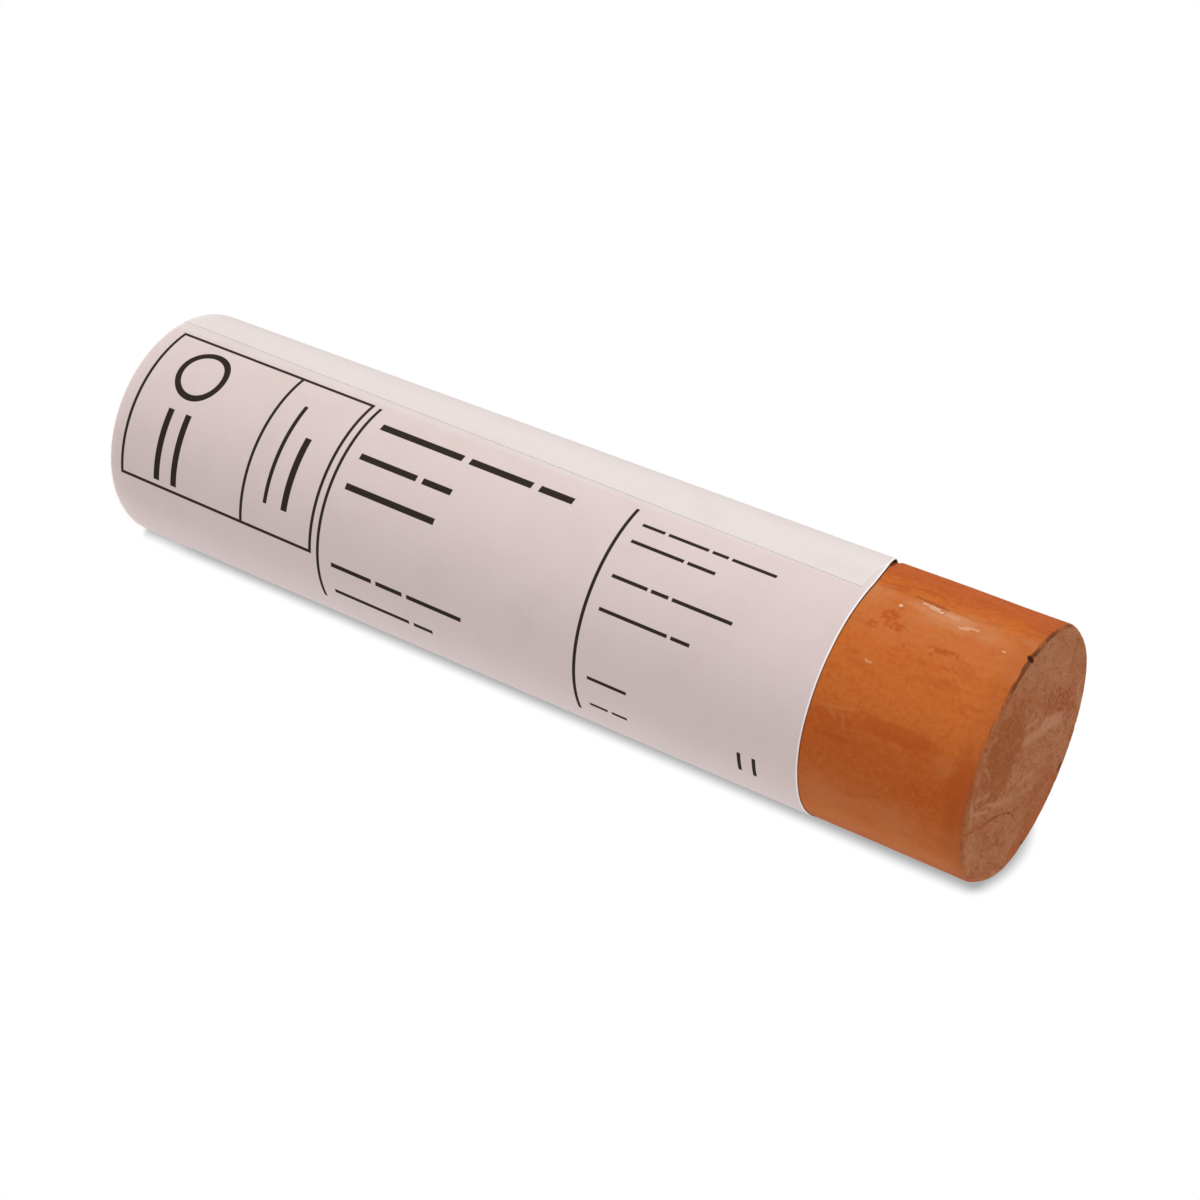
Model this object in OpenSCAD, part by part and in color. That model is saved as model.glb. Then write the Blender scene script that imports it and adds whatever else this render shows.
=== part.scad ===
// Oil paint stick: a fat cast stick of oil paint and wax, rolled in a lapped paper label.
// It stands on its wrapped end. The origin is the centre of that end and +Z runs along the stick
// to the bare end. The printed front of the label faces -Y. Angles round the stick are counted in
// degrees from the front, and grow towards -X.

/* [Paint stick] */
// Diameter of the cast paint
stick_d = 31.6; // [20:0.1:50]
// Length of the cast paint from end to end
stick_len = 127.4; // [60:0.1:200]
// Radius of the worn rim at the bare end
rim_r = 0.5; // [0.3:0.1:3]
// Radius of the rim at the wrapped end
foot_r = 0.5; // [0.2:0.1:3]

/* [Crease in the bare paint] */
// Angle of the middle of the crease from the front
crease_angle = 48; // [0:1:90]
// Length of the crease where it stands out of the skin
crease_len = 12; // [4:0.5:13]
// Height of the crease above the skin, at its middle
crease_h = 0.22; // [0.1:0.01:0.5]
// Radius of the rounded crest of the crease
crest_r = 1.1; // [0.6:0.1:2]
// Lean of the crease away from the line of the stick
crease_lean = 9; // [0:1:30]
// Distance of the crease's middle below the middle of the bare band
crease_low = 1; // [0:0.1:2]

/* [Pit in the rim] */
// Angle of the pit from the front
pit_angle = 40; // [0:1:90]
// Diameter of the pit, where the paint has crumbled away
pit_d = 1.1; // [0.5:0.1:2]

/* [Paper label] */
// Length of paint that the paper leaves bare
bare_len = 20.8; // [18:0.1:40]
// Thickness of the paper
paper_t = 0.1; // [0.08:0.01:0.5]
// Clearance between the paint and the paper
paper_gap = 0.03; // [0.02:0.01:0.2]
// Height of the paper's lower edge above the flat end
foot_gap = 0.1; // [0.05:0.05:2]

/* [Lap of the paper] */
// Angle of the flap's free edge from the front, half-way up the paper
flap_angle = 48; // [0:1:90]
// Width of the flap, where the paper lies double
flap_w = 14; // [12:0.5:20]
// Drop of the flap's upper corner below the edge of the sheet under it
corner_drop = 0.9; // [0.2:0.1:3]
// Width of the flap over which its upper edge falls to that corner
corner_w = 10; // [3:0.5:11]
// Lean of the flap's free edge away from the line of the stick
flap_lean = 1.4; // [0:0.1:2]
// Width over which the paper climbs onto its own hidden edge
step_w = 3.4; // [2:0.1:6]

/* [Dip of the paper's upper edge, at the lap] */
// Angle of the middle of the dip from the front
dip_angle = 130; // [100:1:150]
// Angle that the dip takes up on either side of its middle
dip_reach = 82; // [40:1:85]
// Depth of the dip, at its middle
dip_depth = 4.2; // [1:0.1:8]

/* [Hidden] */
$fn = 128;
stick_r = stick_d / 2;
// The crease is an arc of a large ring that comes through the skin only along crease_len, and
// runs on for a degree under the skin at both ends
crease_ring_r = (crease_len * crease_len / 4 + crease_h * crease_h) / (2 * crease_h);
crease_run_out = 1;
crease_sweep = 2 * (asin(crease_len / 2 / crease_ring_r) + crease_run_out);
crease_z = stick_len - bare_len / 2 - crease_low;
// The pit is centred half-way round the arc of the rim
pit_inset = rim_r * (1 - cos(45));
// The paper lies as one sheet, and as two under the flap
sheet_in_r = stick_r + paper_gap;
sheet_out_r = sheet_in_r + paper_t;
sheet_top = stick_len - bare_len;
flap_arc = arc_angle(flap_w);
step_arc = arc_angle(step_w);
hidden_edge = flap_angle + flap_arc;
step_end = hidden_edge + step_arc;
// Overlap of the step with the sheets that it joins, inwards and along the paper
joint_depth = 0.03;
joint_w = 0.3;
joint_arc = arc_angle(joint_w);
// The flap is revolved this much wider than it is, then cut along its leaning edge
lean_arc = arc_angle(sheet_top * tan(flap_lean));
corner_lean = atan(corner_drop / corner_w);
// Seen straight on, the dip is one hollow arc
dip_half_w = sheet_out_r * sin(dip_reach);
dip_r = (dip_half_w * dip_half_w + dip_depth * dip_depth) / (2 * dip_depth);

// Angle that a width measured round the stick takes up
function arc_angle(width) = width / sheet_in_r * 180 / PI;

// Sideways shift, and radius, of a circle that leaves radius r at the end of the step and has
// come out by one thickness of paper where the hidden edge is. It runs joint_depth lower than
// that, so that the step is joined to the sheets at both of its ends.
function step_shift(r) = paper_t * (2 * r + paper_t) / (2 * (r + paper_t) * sin(step_arc));
function step_radius(r) = sqrt(r * r + step_shift(r) * step_shift(r)) - joint_depth;

// Turns its children to an angle from the front, with their +X pointing outwards
module facing(angle) {
    rotate(-90 - angle) children();
}

// Revolves a profile from one angle to another
module revolve_between(from, to) {
    facing(to) rotate_extrude(angle = to - from) children();
}

// Half outline of the cast stick, with its two rounded rims as true arcs
module stick_outline() {
    square([stick_r - foot_r, stick_len / 2]);
    translate([0, foot_r]) square([stick_r, stick_len - foot_r - rim_r]);
    translate([0, stick_len / 2]) square([stick_r - rim_r, stick_len / 2]);
    translate([stick_r - foot_r, foot_r]) circle(foot_r);
    translate([stick_r - rim_r, stick_len - rim_r]) circle(rim_r);
}

// Low leaning crease, highest at its middle and sinking into the skin at both ends
module crease() {
    facing(crease_angle)
        translate([stick_r + crease_h - crease_ring_r, 0, crease_z])
            rotate([90 - crease_lean, 0, 0])
                rotate(-crease_sweep / 2)
                    rotate_extrude(angle = crease_sweep)
                        translate([crease_ring_r - crest_r, 0]) circle(crest_r);
}

// Round pit on the corner of the rim
module rim_pit() {
    facing(pit_angle)
        translate([stick_r - pit_inset, 0, stick_len - pit_inset]) sphere(d = pit_d);
}

module paint_stick() {
    color("#c0662c") difference() {
        union() {
            rotate_extrude() stick_outline();
            crease();
        }
        rim_pit();
    }
}

// Half outline of one thickness of paper, from its inner radius outwards
module sheet_section(inner_r) {
    translate([inner_r, foot_gap]) square([paper_t, sheet_top - foot_gap]);
}

// The sheet that lies on the paint, from the end of the step round to its hidden edge
module lower_sheet() {
    revolve_between(step_end, hidden_edge + 360) sheet_section(sheet_in_r);
}

// The stretch that climbs over the hidden edge, between two circles shifted sideways
module step_sheet() {
    difference() {
        intersection() {
            step_cylinder(sheet_out_r);
            revolve_between(hidden_edge - joint_arc, step_end + joint_arc)
                translate([sheet_in_r + joint_depth, foot_gap])
                    square([2 * paper_t, sheet_top - foot_gap]);
        }
        step_cylinder(sheet_in_r);
    }
}

module step_cylinder(r) {
    facing(step_end - 90) translate([step_shift(r), 0, 0])
        cylinder(h = stick_len, r = step_radius(r));
}

// The flap lies on the sheet. Its free edge is cut at a lean, and its upper edge falls to the
// corner between them.
module flap() {
    difference() {
        revolve_between(flap_angle - lean_arc, hidden_edge) sheet_section(sheet_out_r);
        facing(flap_angle) translate([0, 0, sheet_top / 2]) rotate([-flap_lean, 0, 0])
            translate([0, 0, -sheet_top]) cube([stick_d, stick_d, 2 * sheet_top]);
        facing(flap_angle) translate([0, 0, sheet_top - corner_drop]) rotate([-corner_lean, 0, 0])
            translate([0, -stick_r, 0]) cube([stick_d, stick_d, stick_d]);
    }
}

module dip() {
    facing(dip_angle) translate([0, 0, sheet_top - dip_depth + dip_r])
        rotate([0, 90, 0]) cylinder(h = stick_d, r = dip_r);
}

module paper_label() {
    color("#d8c9c4") difference() {
        union() {
            lower_sheet();
            step_sheet();
            flap();
        }
        dip();
    }
}

paint_stick();
paper_label();
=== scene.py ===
# Oil paint stick: a fat cast stick of oil paint and wax, rolled in a lapped paper label.
# Angles round the stick are counted in degrees from the front, and grow towards -X. Lengths are in
# millimetres until a mesh is finished, and shaders measure in millimetres too.
import math
import bmesh
import bpy
from mathutils import Matrix, Vector, noise


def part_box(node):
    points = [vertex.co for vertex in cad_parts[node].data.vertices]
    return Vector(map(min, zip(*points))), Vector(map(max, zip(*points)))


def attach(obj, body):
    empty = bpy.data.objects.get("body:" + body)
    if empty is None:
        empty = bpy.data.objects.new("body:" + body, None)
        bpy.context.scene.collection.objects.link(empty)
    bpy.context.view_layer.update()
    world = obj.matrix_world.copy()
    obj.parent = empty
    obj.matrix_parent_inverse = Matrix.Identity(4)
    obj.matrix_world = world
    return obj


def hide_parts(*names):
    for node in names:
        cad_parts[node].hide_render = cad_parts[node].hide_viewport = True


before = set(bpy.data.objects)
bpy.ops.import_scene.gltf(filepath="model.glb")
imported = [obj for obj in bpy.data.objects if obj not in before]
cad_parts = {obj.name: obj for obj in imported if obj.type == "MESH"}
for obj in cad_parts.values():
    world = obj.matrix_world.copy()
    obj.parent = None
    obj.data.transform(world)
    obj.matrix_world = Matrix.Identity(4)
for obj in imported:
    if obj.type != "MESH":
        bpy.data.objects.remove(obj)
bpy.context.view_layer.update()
MM = 0.001

# Sizes of the stick, from the frame
_, paint_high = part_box("paint_stick")
paper_low, paper_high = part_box("paper_label")
STICK_R = paint_high.x / MM
STICK_LEN = paint_high.z / MM
SHEET_TOP = paper_high.z / MM
SHEET_FOOT = paper_low.z / MM
SHEET_OUT_R = paper_high.x / MM

# The cast paint. SKIN_ARC is about how far one degree reaches round the skin.
SKIN_ARC = 0.276
FOOT_R = 0.5
RIM_R = 0.2
RIM_BAND = 1.6
RIM_STEP = 0.12
ROUND_STEPS = 480
SKIN_STEP = 0.22
END_STEP = 0.33
FOOT_STEP = 2.2
BEND_STEPS = 4
FINE_SKIN_LOW = SHEET_TOP - 5.5
FAR_RIM, FAR_RIM_WEAR = 95, 0.65
FLOOR_RIM, FLOOR_RIM_WEAR = -92, 1.05
RIM_WEAR_REACH = 20
CONTACT_ANGLE = -131
CREASE_ANGLE = 48
CREASE_LEN = 12
CREASE_H = 0.22
CREASE_FLANK = 0.7
CREASE_LEAN = math.radians(9)
CREASE_Z = STICK_LEN - (STICK_LEN - SHEET_TOP) / 2 - 1.0
PIT_ANGLE = 40
PIT_R = 0.55
PIT_INSET = 0.15
END_DIP = 0.12
CRACK_DEPTH = 0.07
CRACK_HALF_W = 0.4
DEEP_UNDER_PAPER = -5
CRACK = ((-4.2, -7.0), (-1.5, -6.8), (2.4, -7.7), (6.4, -9.4), (12.0, -10.6))

# The paper and its lap. PAPER_ARC is how far one degree reaches round the paper.
PAPER_T = 0.07
PAPER_IN_R = STICK_R + 0.01
FLAP_IN_R = PAPER_IN_R + PAPER_T + 0.005
FLAP_EDGE = 48
FLAP_LEAN = math.radians(1.4)
HIDDEN_EDGE = 98.6
STEP_ARC = 12.3
CORNER_DROP = 0.9
CORNER_W = 6.5
DIP_ANGLE = 130
DIP_REACH = 82
DIP_DEPTH = 4.2
EDGE_RISE = 0.06
PRINT_SKEW = math.radians(0.6)
BOX_MARGIN = 0.02
PAPER_ARC = math.radians(1) * SHEET_OUT_R


def around(angle, radius, height):
    """Point at an angle from the front."""
    turn = math.radians(angle)
    return Vector((-math.sin(turn) * radius, -math.cos(turn) * radius, height))


def angle_of(point):
    """Angle of a point from the front, between -180 and 180."""
    return math.degrees(math.atan2(-point.x, -point.y))


def turned(angle, start):
    """How far an angle is turned from another, between -180 and 180."""
    return (angle - start + 180) % 360 - 180


def crack_point(place):
    """Point of the crack in the end face, from its distances to the front and to -X."""
    front, left = place
    return Vector((-left, -front, 0))


def bell(distance, width):
    """One at no distance, falling softly to nothing over about twice the width."""
    return math.exp(-(distance / width) ** 2)


def ease(value, low, high):
    """Nought below low, one above high, and smooth between."""
    share = min(max((value - low) / (high - low), 0), 1)
    return share * share * (3 - 2 * share)


# Camera, where the photograph was taken from, in metres and degrees
LENS = 66.19
CAMERA_PLACE = (0, -0.24626, 0.19536)
CAMERA_HEADING = -0.368
CAMERA_DOWN = 27.075
CAMERA_ROLL = 111.838


def photo_camera():
    camera = bpy.data.objects.new("photo_camera", bpy.data.cameras.new("photo_camera"))
    bpy.context.scene.collection.objects.link(camera)
    camera.data.sensor_width = 36
    camera.data.lens = LENS
    camera.data.clip_start = 0.01
    heading = Matrix.Rotation(math.radians(CAMERA_HEADING), 4, "Z")
    tilt = Matrix.Rotation(math.radians(90 - CAMERA_DOWN), 4, "X")
    roll = Matrix.Rotation(math.radians(CAMERA_ROLL), 4, "Z")
    camera.matrix_world = Matrix.Translation(CAMERA_PLACE) @ heading @ tilt @ roll
    bpy.context.scene.camera = camera


# Pieces
def finished(name, shape, *materials):
    """Turns a bmesh in millimetres into an object in metres, with smooth faces."""
    bmesh.ops.scale(shape, vec=(MM, MM, MM), verts=shape.verts)
    mesh = bpy.data.meshes.new(name)
    shape.to_mesh(mesh)
    shape.free()
    for face in mesh.polygons:
        face.use_smooth = True
    for material in materials:
        mesh.materials.append(material)
    piece = bpy.data.objects.new(name, mesh)
    bpy.context.scene.collection.objects.link(piece)
    return piece


def cut_edge(shape, start, end, step):
    """Cuts the straight stretch of a profile between two points into even steps."""
    for edge in shape.edges:
        ends = sorted(((v.co - start).length, (v.co - end).length) for v in edge.verts)
        if ends[0][0] < 0.01 and ends[1][1] < 0.01:
            cuts = max(round(edge.calc_length() / step) - 1, 0)
            bmesh.ops.subdivide_edges(shape, edges=[edge], cuts=cuts)
            return


def cast_stick():
    """The cast as a smooth turned shape, finely divided where its skin shows."""
    shape = bmesh.new()
    outline = [
        Vector((0, 0, 0)),
        Vector((0, -STICK_R, 0)),
        Vector((0, -STICK_R, FINE_SKIN_LOW)),
        Vector((0, -STICK_R, STICK_LEN - RIM_BAND)),
        Vector((0, -STICK_R, STICK_LEN)),
        Vector((0, -STICK_R + RIM_BAND, STICK_LEN)),
        Vector((0, 0, STICK_LEN)),
    ]
    points = [shape.verts.new(place) for place in outline]
    for lower, upper in zip(points, points[1:]):
        shape.edges.new((lower, upper))
    for corner, radius in ((points[1], FOOT_R), (points[4], RIM_R)):
        bmesh.ops.bevel(
            shape,
            geom=[corner],
            offset=radius,
            segments=BEND_STEPS,
            profile=0.5,
            affect="VERTICES",
            material=-1,
        )
    rim_low = Vector((0, -STICK_R, STICK_LEN - RIM_R))
    rim_top = Vector((0, -STICK_R + RIM_R, STICK_LEN))
    foot_edge = Vector((0, -STICK_R + FOOT_R, 0))
    cut_edge(shape, outline[0], foot_edge, FOOT_STEP)
    cut_edge(shape, outline[2], outline[3], SKIN_STEP)
    cut_edge(shape, outline[3], rim_low, RIM_STEP)
    cut_edge(shape, outline[5], rim_top, RIM_STEP)
    cut_edge(shape, outline[6], outline[5], END_STEP)
    bmesh.ops.spin(
        shape,
        geom=shape.verts[:] + shape.edges[:],
        cent=(0, 0, 0),
        axis=(0, 0, 1),
        angle=math.tau,
        steps=ROUND_STEPS,
        use_merge=True,
    )
    bmesh.ops.remove_doubles(shape, verts=shape.verts, dist=0.001)
    bmesh.ops.recalc_face_normals(shape, faces=shape.faces)
    return shape


def crease_relief(angle, height):
    """The parting crease, which leans, stands proud at its middle and has a groove above it."""
    across = (angle - CREASE_ANGLE) * math.radians(1) * STICK_R
    up = height - CREASE_Z
    along = up * math.cos(CREASE_LEAN) - across * math.sin(CREASE_LEAN)
    aside = across * math.cos(CREASE_LEAN) + up * math.sin(CREASE_LEAN)
    aside += 0.12 * noise.noise(Vector((along * 0.5, 7, 3)))
    crest = max(CREASE_H * (1 - (2 * along / CREASE_LEN) ** 2), 0)
    crest *= 0.8 + 0.5 * noise.noise(Vector((along * 0.45, 2, 9)))
    flank = ease(aside, -1.6 * CREASE_FLANK, 0.2) * (1 - ease(aside, 0, 0.4))
    groove = 0.08 * bell(aside - 0.75, 0.35) * bell(along, 7)
    return crest * flank - groove


def spot(angle, height, at_angle, at_height, half_width, half_height):
    """One at a spot on the skin, falling softly to nothing round it."""
    across = (angle - at_angle) * SKIN_ARC
    return bell(across, half_width) * bell(height - at_height, half_height)


def skin_relief(angle, place, above_paper):
    """How far the skin of the bare side stands out."""
    height = place.z
    swell = 0.05 * (noise.noise(place * 0.11) - 0.6)
    drag = 0.018 * noise.noise(Vector((place.x * 0.9, place.y * 0.9, place.z * 0.16)))
    pores = 0.012 * noise.noise(place * 1.6)
    nub = 0.14 * spot(angle, height, 41.2, 111.0, 0.28, 0.28)
    speck = 0.08 * spot(angle, height, 37.4, 124.2, 0.3, 0.3)
    hollow = 0.25 * bell((angle - 84) * SKIN_ARC, 4) * (1 - ease(above_paper, 0.2, 1.1))
    scuffs = 0.05 * spot(angle, height, 28, 111, 1.3, 2.4)
    scuffs *= max(noise.noise(place * 1.1) + 0.3, 0)
    smear = 0.03 * bell(height - 116.5, 5) * ease((angle + 13.5) * SKIN_ARC, -0.35, 0.1)
    smear *= 1 - ease((angle + 9) * SKIN_ARC, -0.2, 0.5)
    spread = 0.12 * bell(turned(angle, CONTACT_ANGLE), 24) * bell(height - STICK_LEN, 1.2)
    raised = swell + drag + pores + nub + speck + smear + spread
    return raised - hollow - scuffs + crease_relief(angle, height)


def crack_depth(flat):
    """How deep the end face is sunk along its crack."""
    nearest = STICK_R
    for here, there in zip(CRACK, CRACK[1:]):
        start = crack_point(here)
        run = crack_point(there) - start
        share = min(max((flat - start).dot(run) / run.length_squared, 0), 1)
        nearest = min(nearest, (flat - start - run * share).length)
    return CRACK_DEPTH * bell(nearest, CRACK_HALF_W)


def end_relief(place):
    """How far the skin of the end face lies below its rim, with torn skins and furrows in it."""
    flat = Vector((place.x, place.y, 0))
    brushed = Vector((flat.x * 0.5 + flat.y * 0.2, flat.y * 0.22 - flat.x * 0.1, 6))
    torn = noise.noise(brushed * 1.3) + 0.35 * noise.noise(flat * 0.8 + Vector((4, 4, 4)))
    waves = 0.08 * noise.noise(flat * 0.14 + Vector((3, 1, 0)))
    skins = 0.05 * ease(torn, -0.1, 0.2)
    furrows = 0.03 * abs(noise.noise(brushed * 3))
    grit = 0.008 * noise.noise(flat * 2.1)
    return waves + skins - furrows + grit - END_DIP - crack_depth(flat)


def worn_radius(angle):
    """Radius to which the rim is worn. It is still crisp where it faces the front."""
    worn = RIM_R + 0.08 * (1 + noise.noise(around(angle, 2.0, 4)))
    worn += FAR_RIM_WEAR * bell(turned(angle, FAR_RIM), RIM_WEAR_REACH)
    return worn + FLOOR_RIM_WEAR * bell(turned(angle, FLOOR_RIM), RIM_WEAR_REACH)


def wear_the_rim(point, angle):
    """Rounds the rim over as far as it is worn, crumbles it a little and presses the pit in it."""
    worn = worn_radius(angle)
    reach = point.xy.length
    aside = reach - (STICK_R - worn)
    above = point.z - (STICK_LEN - worn)
    far = math.hypot(aside, above)
    if aside > 0 and above > 0 and far > worn:
        point.xy = point.xy * ((STICK_R - worn + aside * worn / far) / reach)
        point.z = STICK_LEN - worn + above * worn / far
    inward = (Vector((-point.x, -point.y, 0)).normalized() + Vector((0, 0, -1))).normalized()
    chips = max(noise.noise(point * 0.8 + Vector((9, 0, 0))) - 0.15, 0) * 0.16
    crumbs = max(noise.noise(point * 2.1), 0) * 0.06
    edge = bell(point.xy.length - STICK_R, 0.7) * bell(point.z - STICK_LEN, 0.7)
    point += inward * (chips + crumbs) * edge
    pit = around(PIT_ANGLE, STICK_R - PIT_INSET, STICK_LEN - PIT_INSET)
    away = point - pit
    if away.length < PIT_R:
        ahead = away.dot(inward)
        point += inward * (math.sqrt(ahead * ahead - away.length_squared + PIT_R * PIT_R) - ahead)


def room_outside(angle):
    """How far the skin may stand out at an angle and stay inside the box of the paper."""
    turn = math.radians(angle)
    return (SHEET_OUT_R - BOX_MARGIN) / max(abs(math.sin(turn)), abs(math.cos(turn))) - STICK_R


def work_the_skin(shape):
    """Moves the points of the cast, so that its skin is as uneven as old paint, and notes how far
    each lies above the paper's edge."""
    above_paper = shape.verts.layers.float.new("above_paper")
    for vert in shape.verts:
        point = vert.co
        if point.z < FINE_SKIN_LOW + 0.1:
            vert[above_paper] = DEEP_UNDER_PAPER
            continue
        radius = point.xy.length
        angle = angle_of(point)
        start = point.copy()
        above = start.z - sheet_edge(angle)
        vert[above_paper] = above
        side = ease(radius, STICK_R - 1.2, STICK_R - 0.1)
        if side > 0:
            outward = Vector((point.x, point.y, 0)).normalized()
            rise = skin_relief(angle, start, above) * side
            rise = min(rise, room_outside(angle) * ease(above, 0.05, 0.3))
            point += outward * rise * ease(start.z, FINE_SKIN_LOW, FINE_SKIN_LOW + 1)
        if start.z > STICK_LEN - 0.01:
            bead = 1 - ease(radius, STICK_R - RIM_BAND, STICK_R - 0.5)
            point.z += min(end_relief(start) * bead, 0)
        if radius > STICK_R - RIM_BAND and start.z > STICK_LEN - RIM_BAND:
            wear_the_rim(point, angle)
        point.z = min(point.z, STICK_LEN)


def paint_stick_piece(skin):
    """The cast with its worked skin."""
    shape = cast_stick()
    work_the_skin(shape)
    piece = finished("cast_paint", shape, skin)
    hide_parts("paint_stick")
    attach(piece, "root")
    return piece


def sheet_radius(angle):
    """Radius of the paper's inner face. Past a whole turn it climbs onto its own hidden edge."""
    step_end = HIDDEN_EDGE + STEP_ARC - 360
    climbed = ease(-angle, -step_end, -step_end + STEP_ARC)
    return PAPER_IN_R + (FLAP_IN_R - PAPER_IN_R) * climbed


def flap_edge_at(height):
    """Angle of the flap's free edge, which leans, as an angle past the whole turn."""
    lean = (height - SHEET_TOP / 2) * math.tan(FLAP_LEAN) / PAPER_ARC
    return FLAP_EDGE - lean - 360


def dip_at(angle):
    """How far the paper's upper edge dips at the lap, along one hollow arc."""
    aside = turned(angle, DIP_ANGLE)
    if abs(aside) > DIP_REACH:
        return 0
    half = SHEET_OUT_R * math.sin(math.radians(DIP_REACH))
    arc_r = (half * half + DIP_DEPTH * DIP_DEPTH) / (2 * DIP_DEPTH)
    across = SHEET_OUT_R * math.sin(math.radians(aside))
    return DIP_DEPTH - arc_r + math.sqrt(arc_r * arc_r - across * across)


def sheet_edge(angle):
    """Height of the sheet's upper edge, which rises a little towards the lap and then dips."""
    return SHEET_TOP + EDGE_RISE * math.sin(math.radians(angle)) - dip_at(angle)


def top_at(angle):
    """Height of the paper's upper edge, which falls further at the flap's corner."""
    from_corner = (angle + 360 - FLAP_EDGE) * PAPER_ARC
    if angle > HIDDEN_EDGE - 360:
        return sheet_edge(angle)
    return sheet_edge(angle) - CORNER_DROP * (1 - ease(from_corner, 0, CORNER_W))


def roll_the_sheet(shape, flat_place, below_edge):
    """Rolls a flat unit sheet round the stick, and notes where each point lay on the flat print and
    how far it is below the upper edge."""
    for vert in shape.verts:
        across, up = vert.co.x + 0.5, vert.co.y + 0.5
        height = SHEET_FOOT + up * (SHEET_TOP - SHEET_FOOT)
        angle = HIDDEN_EDGE + across * (flap_edge_at(height) - HIDDEN_EDGE)
        top = top_at(angle)
        height = SHEET_FOOT + up * (top - SHEET_FOOT)
        nick = 0.05 * noise.noise(Vector((angle * 0.05, 0, 5))) - 0.04
        height += nick * ease(up, 0.9, 1) + 0.03 * (1 - ease(up, 0, 0.02))
        ripple = 0.015 * (1 + noise.noise(around(angle, 1.6, height * 0.05)))
        arc = angle * PAPER_ARC
        skew = math.tan(PRINT_SKEW)
        vert[flat_place] = (arc + skew * (height - SHEET_TOP / 2), height - skew * arc, 0)
        vert[below_edge] = top - height
        vert.co = around(angle, sheet_radius(angle) + ripple, height)


def thicken_the_sheet(shape):
    """Gives the rolled sheet its thickness, outwards, and its cut edges their own material."""
    shape.normal_update()
    facing = sum(face.normal.dot(face.calc_center_median().xy.to_3d()) for face in shape.faces)
    if facing < 0:
        bmesh.ops.reverse_faces(shape, faces=shape.faces)
    bmesh.ops.solidify(shape, geom=shape.faces[:], thickness=-PAPER_T)
    bmesh.ops.recalc_face_normals(shape, faces=shape.faces)
    for face in shape.faces:
        outward = face.calc_center_median().xy.to_3d().normalized()
        if abs(face.normal.dot(outward)) < 0.5:
            face.material_index = 1
    for edge in shape.edges:
        if len({face.material_index for face in edge.link_faces}) > 1:
            edge.smooth = False


def paper_label_piece(paper, cut_paper):
    """The rolled and lapped paper, with its print mapped from the flat sheet."""
    shape = bmesh.new()
    shape.verts.layers.float.new("below_edge")
    flat_place = shape.verts.layers.float_vector.new("flat_place")
    bmesh.ops.create_grid(shape, x_segments=260, y_segments=150, size=0.5)
    roll_the_sheet(shape, flat_place, shape.verts.layers.float["below_edge"])
    thicken_the_sheet(shape)
    print_map = shape.loops.layers.uv.new("label_mm")
    for face in shape.faces:
        for loop in face.loops:
            loop[print_map].uv = loop.vert[flat_place].xy
    shape.verts.layers.float_vector.remove(flat_place)
    piece = finished("rolled_label", shape, paper, cut_paper)
    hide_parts("paper_label")
    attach(piece, "root")
    return piece


# Shader nodes
def put(tree, kind, inputs=(), **settings):
    """Adds a node, sets its options, and links or sets its inputs."""
    node = tree.nodes.new(kind)
    for name, value in settings.items():
        setattr(node, name, value)
    for key, value in dict(inputs).items():
        if isinstance(value, bpy.types.NodeSocket):
            tree.links.new(value, node.inputs[key])
        else:
            node.inputs[key].default_value = value
    return node


def sums(tree, operation, *values):
    """A Math node's result."""
    return put(tree, "ShaderNodeMath", enumerate(values), operation=operation).outputs[0]


def times(tree, *values):
    """Product of several values."""
    product = values[0]
    for value in values[1:]:
        product = sums(tree, "MULTIPLY", product, value)
    return product


def most(tree, *values):
    """Largest of several values."""
    largest = values[0]
    for value in values[1:]:
        largest = sums(tree, "MAXIMUM", largest, value)
    return largest


def vectors(tree, operation, *values, result=0):
    """A Vector Math node's result, which is a vector, or a number as result 1."""
    places = enumerate(values)
    return put(tree, "ShaderNodeVectorMath", places, operation=operation).outputs[result]


def scaled(tree, vector, factor):
    """A vector times a number."""
    places = {0: vector, "Scale": factor}
    return put(tree, "ShaderNodeVectorMath", places, operation="SCALE").outputs[0]


def stretched(tree, place, scale, turn=0):
    """A place turned and scaled, so that a pattern on it is drawn out one way."""
    places = {"Vector": place, "Rotation": (0, 0, math.radians(turn)), "Scale": scale}
    return put(tree, "ShaderNodeMapping", places).outputs[0]


def object_place(tree):
    """Place in the object's own frame, in metres."""
    return put(tree, "ShaderNodeTexCoord").outputs["Object"]


def soft_step(tree, value, low, high):
    """Nought at low and one at high, smooth between."""
    places = {"Value": value, "From Min": low, "From Max": high}
    return put(tree, "ShaderNodeMapRange", places, interpolation_type="SMOOTHSTEP").outputs[0]


def ranged(tree, value, low, high):
    """Takes a value between nought and one to the range from low to high."""
    places = {"Value": value, "To Min": low, "To Max": high}
    return put(tree, "ShaderNodeMapRange", places).outputs[0]


def blend(tree, share, under, over):
    """Mixes two colours."""
    places = {0: share, 6: under, 7: over}
    return put(tree, "ShaderNodeMix", places, data_type="RGBA").outputs[2]


def noise_at(tree, place, size, detail, roughness, distortion=0.0):
    """Noise between nought and one, with features about size millimetres across."""
    places = {
        "Vector": place,
        "Scale": 1 / size,
        "Detail": detail,
        "Roughness": roughness,
        "Distortion": distortion,
    }
    return put(tree, "ShaderNodeTexNoise", places).outputs[0]


def new_group(name, inputs, outputs):
    """An empty shader node group. The names of its sockets are listed under their kinds."""
    tree = bpy.data.node_groups.new(name, "ShaderNodeTree")
    for way, sockets in (("INPUT", inputs), ("OUTPUT", outputs)):
        for kind, labels in sockets.items():
            for label in labels:
                tree.interface.new_socket(label, in_out=way, socket_type="NodeSocket" + kind)
    entry = tree.nodes.new("NodeGroupInput")
    ending = tree.nodes.new("NodeGroupOutput")
    return tree, entry.outputs, ending.inputs


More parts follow.
